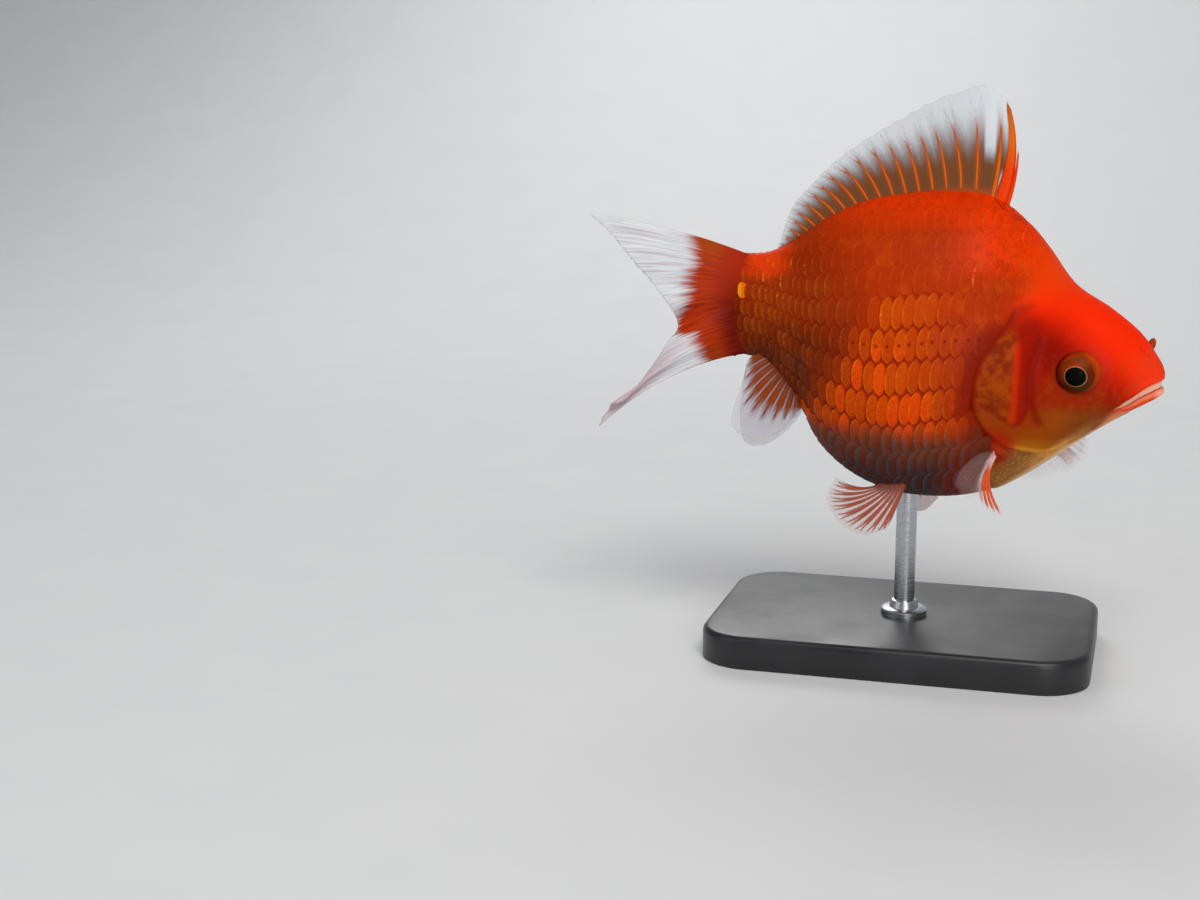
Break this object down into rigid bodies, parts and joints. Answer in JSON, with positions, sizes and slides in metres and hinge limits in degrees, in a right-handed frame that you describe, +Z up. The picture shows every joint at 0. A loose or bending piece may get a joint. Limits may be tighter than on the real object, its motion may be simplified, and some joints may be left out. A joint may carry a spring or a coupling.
{
  "type": "ryukin goldfish",
  "caption": "Life-size ryukin goldfish: deep, hump-backed orange body, pointed head, tall dorsal fin and forked double tail, nose slightly down on a rod stand with a flat base.",
  "frame": {"origin": "middle of the underside of the stand's base, on the floor", "axes": "+Z up, +X towards the fish's nose, +Y towards the fish's left side"},
  "size_m": [0.1358, 0.062, 0.1364],
  "materials": {
    "skin": "moist orange-red fish skin with golden-rimmed scales on the trunk",
    "gill_cover": "smooth golden-orange skin over bone, slightly pearly",
    "fin": "orange rays in a thin, clear to milky membrane, white at the edge",
    "tail_fin": "orange-red rays in a thin membrane, turning white in the outer half",
    "eye": "glossy, with a black pupil in a dark orange-brown iris",
    "stand_lacquer": "satin black",
    "stand_steel": "brushed"
  },
  "bodies": {
    "root": {"head": "skin", "lower_jaw": "skin", "gill_cover_left": "gill_cover", "gill_cover_right": "gill_cover", "eye_left": "eye", "eye_right": "eye", "nostril_flap_left": "skin", "nostril_flap_right": "skin", "trunk": "skin", "tail_stalk": "skin", "dorsal_fin": "fin", "pectoral_fin_left": "fin", "pectoral_fin_right": "fin", "pelvic_fin_left": "fin", "pelvic_fin_right": "fin", "anal_fin_left": "fin", "anal_fin_right": "fin", "tail_fin_upper_left": "tail_fin", "tail_fin_upper_right": "tail_fin", "tail_fin_lower_left": "tail_fin", "tail_fin_lower_right": "tail_fin", "stand_base": "stand_lacquer", "stand_rod": "stand_steel"}
  },
  "joints": []
}
